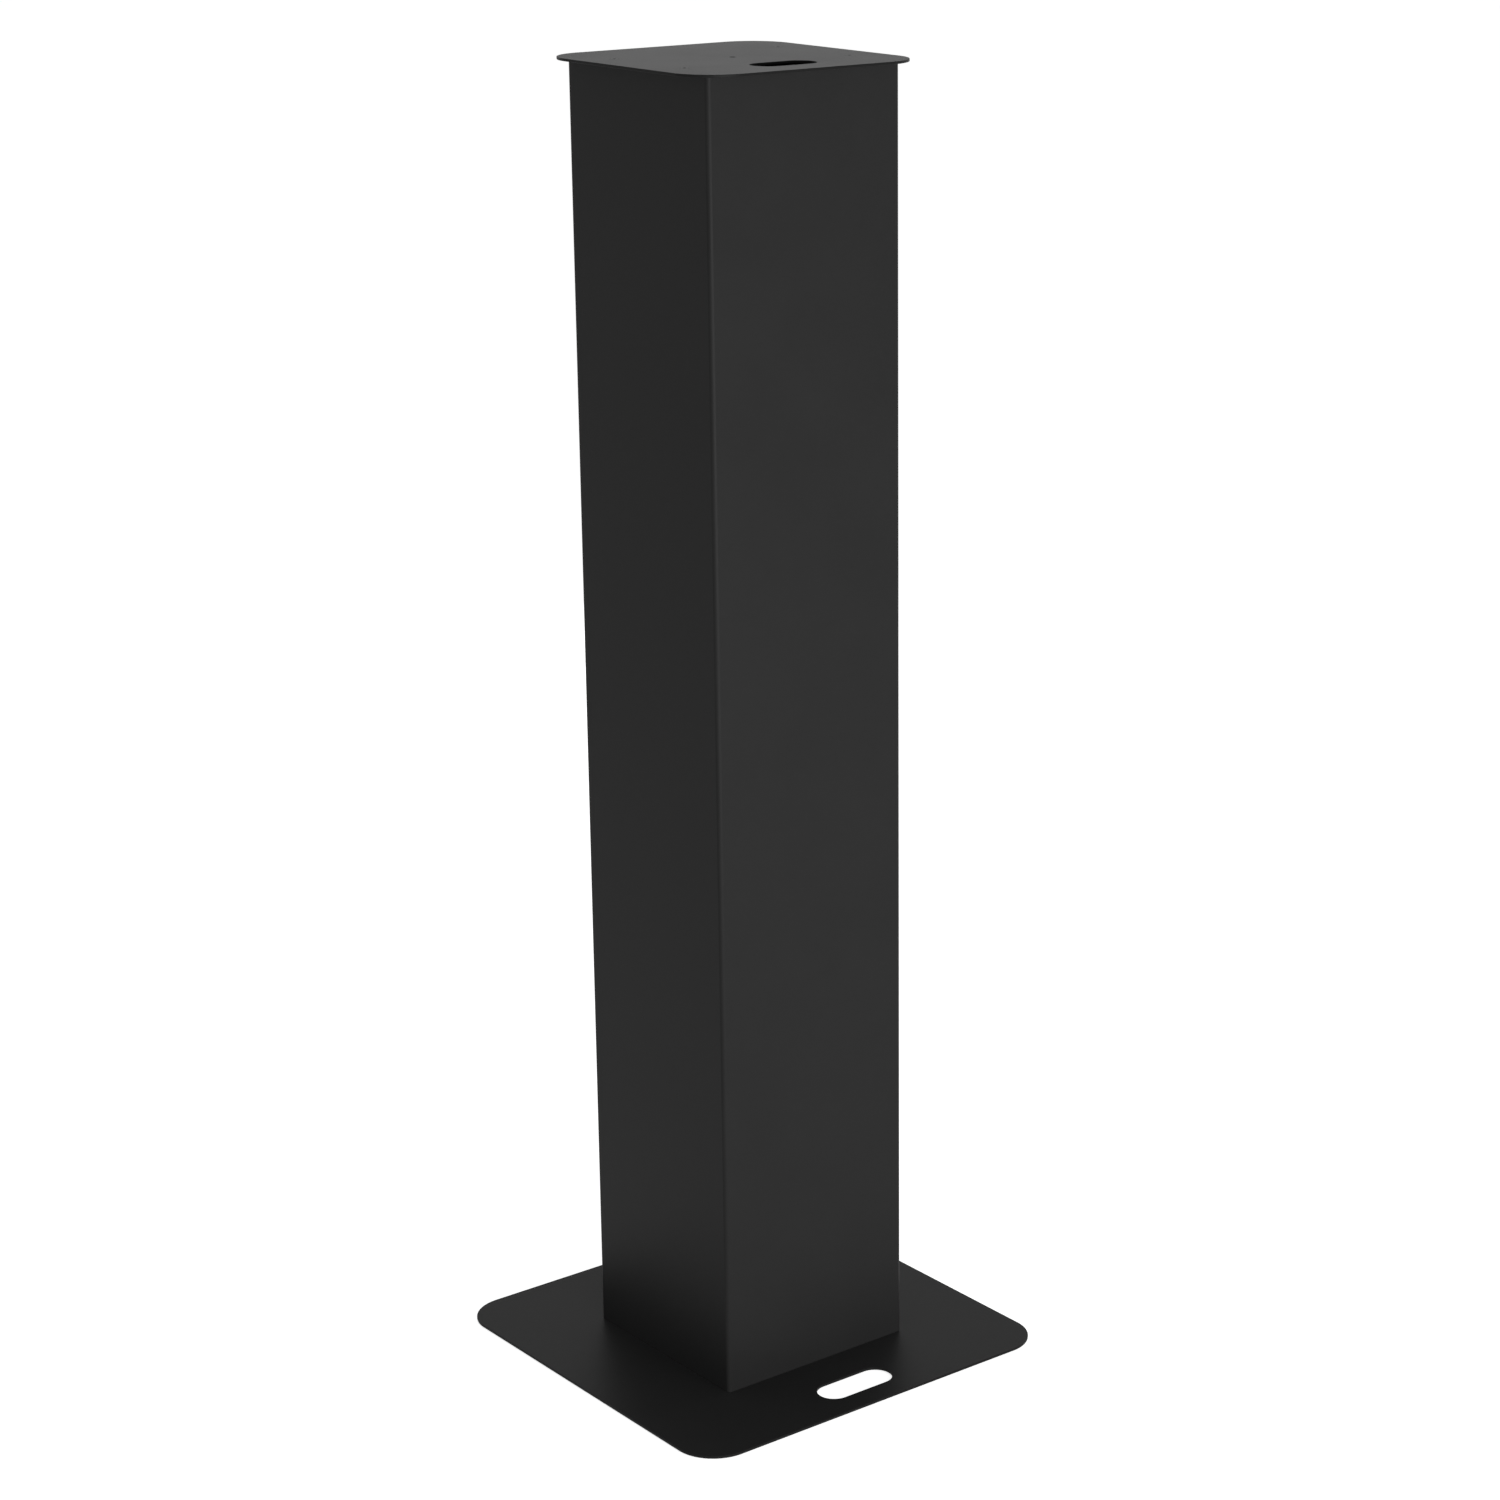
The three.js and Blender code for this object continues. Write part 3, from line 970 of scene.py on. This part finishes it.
@dataclass
class Column(SubAssembly):
    """Folded shell with its screwed-on rear panel."""

    sheet: float = 0.002
    bend: float = 0.003  # inside radius of the four upright edges
    rim: float = 0.014  # strip of shell beside the panel
    joggle_bend: float = 0.001  # inside radius of the small bends behind the rim
    landing: float = 0.028
    edge: float = 0.0003
    panel_corner: float = 0.003
    outlet_length: float = 0.080
    outlet_width: float = 0.040
    outlet_height: float = 0.075  # above the floor
    hole: float = 0.0045
    rows: int = 5
    screw_thread: float = 0.004
    screw_length: float = 0.008
    screw_head: float = 0.0076
    screw_head_height: float = 0.0022
    screw_head_rim: float = 0.0005
    screw_edge: float = 0.0001  # small bevel under the head's rim
    dome_steps: int = 8
    nut_width: float = 0.009
    nut_bore: float = 0.0046

    def build(self) -> None:
        """Makes the shell, the panel, and the panel's screws and nuts."""
        self.add_shell()
        self.add_panel()
        for side in ("left", "right"):
            for row in range(1, self.rows + 1):
                self.add_screw(f"panel_screw_{side}_{row}")
                self.add_nut(f"panel_nut_{side}_{row}", Facing.REAR, self.nut_width, self.nut_bore)

    def screw_heights(self) -> list[float]:
        """Heights of the panel's screws, from the frame."""
        boxes = [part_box(f"panel_screw_right_{row}") for row in range(1, self.rows + 1)]
        return [(low.z + high.z) / 2 for low, high in boxes]

    def add_shell(self) -> None:
        """Makes the front, the two sides and the joggled returns from one folded sheet."""
        low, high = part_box("column_shell")
        half = high.x
        joggle_start = half - self.rim
        joggle_end = joggle_start - self.sheet
        landing_y = half - self.sheet
        right = [
            (joggle_end - self.landing, landing_y, 0.0),
            (joggle_end, landing_y, self.joggle_bend),
            (joggle_start, half, self.joggle_bend),
            (half, half, self.bend),
            (half, -half, self.bend),
        ]
        left = [(-x, y, bend) for x, y, bend in reversed(right)]
        section = FoldedSection((*right, *left), self.sheet)
        length = section.stations()[0][-1]
        holes = [
            round_hole((along, height), self.hole)
            for along in (self.landing / 2, length - self.landing / 2)
            for height in self.screw_heights()
        ]
        shell = folded_sheet(section, (low.z, high.z), rounded_edge(self.sheet, self.edge), holes)
        self.add("column_shell", shell.surface(section, Axes()), POWDER_COAT)

    def add_panel(self) -> None:
        """Makes the rear panel. Its pattern's height runs from the outer face inwards."""
        low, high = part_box("rear_panel")
        edge = rounded_edge(self.sheet, self.edge)
        outlet = Cut(round_ended_slot((0, self.outlet_height), self.outlet_length, self.outlet_width), edge)
        screw_low, screw_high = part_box("panel_screw_right_1")
        reach = (screw_low.x + screw_high.x) / 2
        holes = [
            Cut(round_hole((side * reach, height), self.hole), edge)
            for side in (-1, 1)
            for height in self.screw_heights()
        ]
        border = outline((low.x, low.z), (high.x, high.z), self.panel_corner)
        panel = Sheet(Cut(border, edge), (outlet, *holes))
        axes = Axes((0, high.y, 0), (1, 0, 0), (0, 0, 1))
        self.add("rear_panel", panel.surface(axes), POWDER_COAT)

    def add_screw(self, node: str) -> None:
        """Makes a button-head screw that faces the rear.

        Args:
            node: the screw's node, which gives its place.
        """
        axes, _ = Facing.REAR.seat(node, self.screw_head_height)
        head, shank = self.screw_head / 2, self.screw_thread / 2
        rise = self.screw_head_height - self.screw_head_rim
        arc = directions(0, QUARTER, self.dome_steps) * [head - shank, rise] + [shank, self.screw_head_rim]
        profile = [
            *shank_profile(shank, self.screw_length),
            (shank, 0, 0), (head - self.screw_edge, 0, 0), (head, self.screw_edge, 0),
            *[(reach, height, 0) for reach, height in arc],
            *drive_recess(self.screw_thread, self.screw_head_height),
        ]
        self.add(node, turned(profile, axes), SCREW_COAT)


def shank_profile(radius: float, length: float) -> list[Place]:
    """Profile of a screw's shank from the middle of its bevelled tip.

    Args:
        radius: of the shank.
        length: from the place that heights count from down to the tip.

    Returns:
        (radius, height, swing) entries that begin on the axis.
    """
    bevel = TIP_SHARE * radius
    return [(0, -length, 0), (radius - bevel, -length, 0), (radius, bevel - length, 0)]


def drive_recess(thread: float, top: float) -> list[Place]:
    """Profile of a six-lobe drive recess in a flat head, from its mouth down to the axis.

    Args:
        thread: the screw's thread, which the recess is in proportion to.
        top: height of the flat head.

    Returns:
        (radius, height, swing) entries that end on the axis.
    """
    lobe, valley = RECESS_LOBE * thread, RECESS_VALLEY * thread
    depth, lip = RECESS_DEPTH * thread, RECESS_LIP * thread
    mean, swing = (lobe + valley) / 2, (lobe - valley) / 2
    floor = top - depth - lip
    return [
        (lobe + 2 * lip, top, 0),
        (mean + lip, top, swing),
        (mean, top - lip, swing),
        (mean, top - depth, swing),
        (mean - 2 * lip, floor, swing / 2),
        (0, floor, 0),
    ]


class End(Enum):
    """An end of the column: its nodes' prefix and where its screws' heads point."""

    BASE = ("base", Facing.DOWN)
    TOP = ("top", Facing.UP)


@dataclass
class EndFixing(SubAssembly):
    """Angle brackets inside one end of the column, their weld nuts and the screws through the plate."""

    end: End = End.TOP
    sheet: float = 0.003
    bend: float = 0.002  # inside radius
    edge: float = 0.0004
    hole: float = 0.0055
    screw_pitch: float = 0.128
    screw_thread: float = 0.005
    screw_length: float = 0.012
    screw_head: float = 0.0095
    screw_edge: float = 0.00012  # small bevel of the head's rim
    nut_width: float = 0.010
    nut_bore: float = 0.0056

    def build(self) -> None:
        """Makes the brackets, nuts and screws."""
        prefix, facing = self.end.value
        for side in (-1, 1):
            self.add_bracket(f"{prefix}_bracket_{'left' if side < 0 else 'right'}", side, facing)
        for corner in corner_places(1, 1):
            self.add_nut(f"{prefix}_nut_{corner}", facing, self.nut_width, self.nut_bore)
            self.add_screw(f"{prefix}_screw_{corner}", facing)

    def add_bracket(self, node: str, side: int, facing: Facing) -> None:
        """Makes an angle whose outer faces lie against the plate and the column's wall.

        Args:
            node: the bracket's node, which gives its box.
            side: -1 for the left wall and 1 for the right.
            facing: where the plate lies.
        """
        low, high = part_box(node)
        leg = high.x - low.x
        up = 1.0 if facing is Facing.UP else -1.0
        section = FoldedSection(((0, 0, 0), (leg, 0, self.bend), (leg, -leg, 0)), self.sheet)
        holes = [round_hole((leg / 2, end * self.screw_pitch / 2), self.hole) for end in (-1, 1)]
        angle = folded_sheet(section, (low.y, high.y), rounded_edge(self.sheet, self.edge), holes)
        inner_x = low.x if side > 0 else high.x
        axes = Axes((inner_x, 0, high.z if up > 0 else low.z), (float(side), 0, 0), (0, 0, up))
        self.add(node, angle.surface(section, axes), POWDER_COAT)

    def add_screw(self, node: str, facing: Facing) -> None:
        """Makes a countersunk screw whose head is flush with its plate.

        Args:
            node: the screw's node, which gives its place.
            facing: where the head points.
        """
        axes, _ = facing.seat(node)
        head, shank = self.screw_head / 2, self.screw_thread / 2
        profile = [
            *shank_profile(shank, self.screw_length),
            (shank, shank - head, 0), (head - self.screw_edge, -self.screw_edge, 0),
            (head - 1.5 * self.screw_edge, 0, 0),
            *drive_recess(self.screw_thread, 0),
        ]
        self.add(node, turned(profile, axes), SCREW_COAT)


# ---- Studio ----


@dataclass(frozen=True)
class Lamp:
    """A soft rectangular lamp that looks at a place.

    Args:
        name: the lamp's name.
        place: its middle.
        size: its width and height.
        radiance: how bright its face is, where 1 is white.
        mirrored: whether it also shows in gloss.
        aim: what it looks at.
    """

    name: str
    place: Place
    size: tuple[float, float]
    radiance: float
    mirrored: bool = False
    aim: Place = (0.0, 0.0, 0.75)

    def build(self) -> None:
        """Makes the lamp. A face of that radiance gives its area times pi times the radiance in watts."""
        data = bpy.data.lights.new(self.name, "AREA")
        data.shape = "RECTANGLE"
        data.size, data.size_y = self.size
        data.energy = self.radiance * math.pi * self.size[0] * self.size[1]
        lamp = new_object(self.name, data)
        lamp.location = self.place
        lamp.rotation_euler = (Vector(self.aim) - Vector(self.place)).to_track_quat("-Z", "Y").to_euler()
        lamp.visible_camera = False
        lamp.visible_glossy = self.mirrored


@dataclass(frozen=True)
class Camera:
    """The photograph's camera, which stands at front left above the stand.

    Args:
        azimuth: how far round it stands from the front, in degrees.
        elevation: how far it looks down, in degrees.
        distance: from the camera to its target.
        offset: the target's distance to the right of the column's axis.
        height: the target's height.
        focal: focal length, in pixels of the picture.
        middle: where the optical axis meets the picture, in pixels from its left side.
        width: of the picture, in pixels.
        sensor: width of the sensor, in millimetres.
        sight: how far the camera sees.
    """

    azimuth: float = -39.42
    elevation: float = 16.65
    distance: float = 3.97244
    offset: float = 0.19253
    height: float = 0.72331
    focal: float = 3482.89
    middle: float = 911.40
    width: float = 1500.0
    sensor: float = 36.0
    sight: float = 100.0

    def build(self) -> None:
        """Makes the camera and hands it to the scene."""
        azimuth, elevation = math.radians(self.azimuth), math.radians(self.elevation)
        right = Vector((math.cos(azimuth), math.sin(azimuth), 0))
        ahead = Vector((-math.sin(azimuth), math.cos(azimuth), 0))
        back = Vector((0, 0, math.sin(elevation))) - ahead * math.cos(elevation)
        data = bpy.data.cameras.new("camera")
        data.sensor_width = self.sensor
        data.lens = self.focal / self.width * self.sensor
        data.shift_x = (self.width / 2 - self.middle) / self.width
        data.clip_end = self.sight
        camera = new_object("camera", data)
        camera.location = Vector((0, 0, self.height)) + right * self.offset + back * self.distance
        camera.rotation_euler = back.to_track_quat("Z", "Y").to_euler()
        bpy.context.scene.camera = camera


@dataclass(frozen=True)
class Studio:
    """White floor and surroundings, soft lamps and the camera."""

    floor_reach: float = 30.0  # half its side
    floor_albedo: float = 0.80
    floor_glow: float = 0.81  # what the floor adds where it is seen, so that its lit part is white
    floor_drop: float = 0.0001  # keeps the floor clear of the pads' undersides
    ambient: float = 0.25  # how strongly the surroundings light the stand
    lamps: tuple[Lamp, ...] = (
        Lamp("front_lamp", (-0.53, -3.36, 0.75), (3.3, 1.4), 9.2, mirrored=True),
        Lamp("right_lamp", (3.4, 0.0, 0.9), (2.2, 1.4), 1.5),
        Lamp("rear_lamp", (1.1, 3.3, 0.9), (2.2, 1.4), 1.8),
        Lamp("top_lamp", (0.0, 0.0, 2.9), (1.6, 1.6), 1.2),
    )

    def build(self) -> None:
        """Makes the floor, the surroundings, the lamps and the camera."""
        bpy.context.scene.view_settings.view_transform = "Standard"
        self.add_floor()
        self.light_surroundings()
        for lamp in self.lamps:
            lamp.build()
        Camera().build()

    @staticmethod
    def seen(graph: Graph) -> Signal:
        """1 for rays that show a surface, straight, mirrored or through one, and 0 for rays that light."""
        path = graph.node("ShaderNodeLightPath", {}, {})
        rays = [graph.output(path, f"Is {kind} Ray") for kind in ("Camera", "Glossy", "Transmission")]
        return (rays[0] + rays[1] + rays[2]).at_most(1.0)

    def add_floor(self) -> None:
        """Makes a pale floor that is white where it is lit, keeps a shadow, and is clear from below."""
        corners = outline((-self.floor_reach,) * 2, (self.floor_reach,) * 2).points
        square = [(x, y, -self.floor_drop) for x, y in corners.tolist()]
        mesh = bpy.data.meshes.new("floor")
        mesh.from_pydata(square, [], [(0, 1, 2, 3)])
        floor = new_object("floor", mesh)
        material = bpy.data.materials.new("pale_floor")
        graph = Graph(material)
        colour = (self.floor_albedo, self.floor_albedo, self.floor_albedo, 1)
        diffuse = graph.node("ShaderNodeBsdfDiffuse", {}, {"Color": colour})
        glow = graph.node("ShaderNodeEmission", {}, {"Strength": self.floor_glow * self.seen(graph)})
        total = graph.node("ShaderNodeAddShader", {}, {
            "Shader": graph.output(diffuse, "BSDF"),
            "Shader_001": graph.output(glow, "Emission"),
        })
        clear = graph.node("ShaderNodeBsdfTransparent", {}, {})
        one_sided = graph.node("ShaderNodeMixShader", {}, {
            "Fac": graph.output(graph.node("ShaderNodeNewGeometry", {}, {}), "Backfacing"),
            "Shader": graph.output(total, "Shader"),
            "Shader_001": graph.output(clear, "BSDF"),
        })
        graph.node("ShaderNodeOutputMaterial", {}, {"Surface": graph.output(one_sided, "Shader")})
        mesh.materials.append(material)

    def light_surroundings(self) -> None:
        """Makes the world white where it is seen and softer where it lights the stand."""
        world = bpy.data.worlds.new("surroundings")
        bpy.context.scene.world = world
        graph = Graph(world)
        strength = self.ambient + (1 - self.ambient) * self.seen(graph)
        background = graph.node("ShaderNodeBackground", {}, {"Color": (1, 1, 1, 1), "Strength": strength})
        graph.node("ShaderNodeOutputWorld", {}, {"Surface": graph.output(background, "Background")})


def main() -> None:
    """Builds the studio and dresses the stand, sub-assembly by sub-assembly."""
    logging.basicConfig(level=logging.INFO, format="%(message)s")
    Studio().build()
    for part in (BasePlate(), Column(), TopPlate(), EndFixing(end=End.BASE), EndFixing(end=End.TOP)):
        part.build()
        part.dress()


if __name__ == "__main__":
    main()
